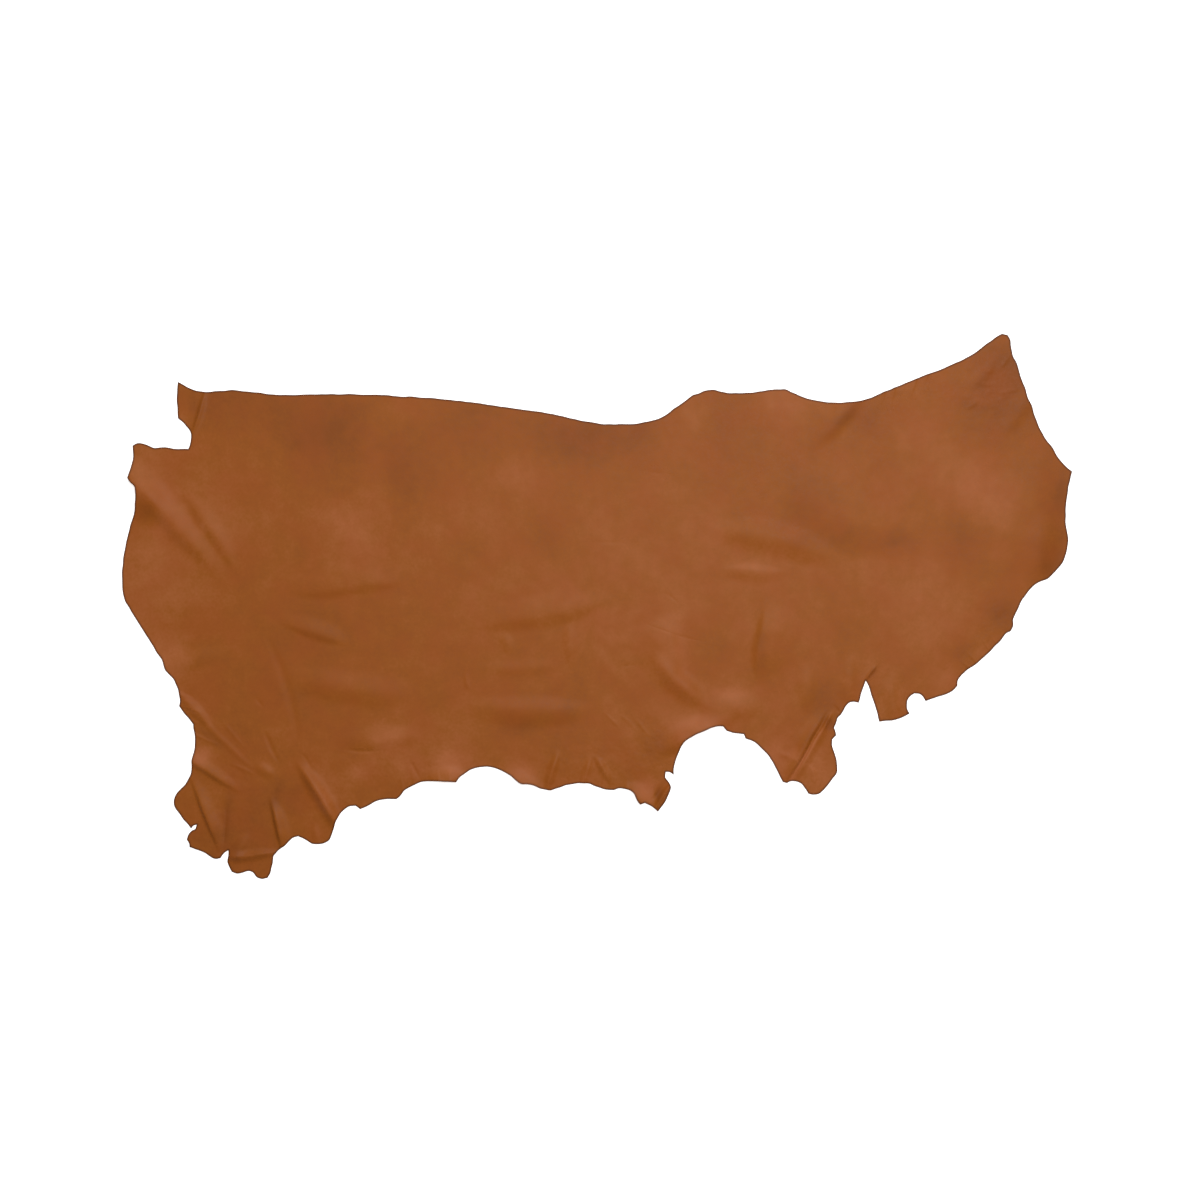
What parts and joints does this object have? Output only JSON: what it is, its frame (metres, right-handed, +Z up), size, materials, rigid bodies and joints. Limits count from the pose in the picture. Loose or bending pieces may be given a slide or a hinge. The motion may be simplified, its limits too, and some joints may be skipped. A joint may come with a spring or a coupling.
{
  "type": "leather side",
  "caption": "Half of a tanned cattle hide in tan brown leather, laid flat with its grain up, with an uneven cut edge, shank lobes and soft folds.",
  "frame": {"origin": "centre of the sheet's outline box, on the surface that it lies on", "axes": "+X along the back line from the neck to the tail, +Y from the belly edge to the back line, +Z up, the way the grain side faces"},
  "size_m": [2.3744, 1.3638, 0.0182],
  "materials": {
    "leather": "smooth tan brown grain with a low satin sheen"
  },
  "bodies": {
    "root": {"leather_side": "leather"}
  },
  "joints": []
}
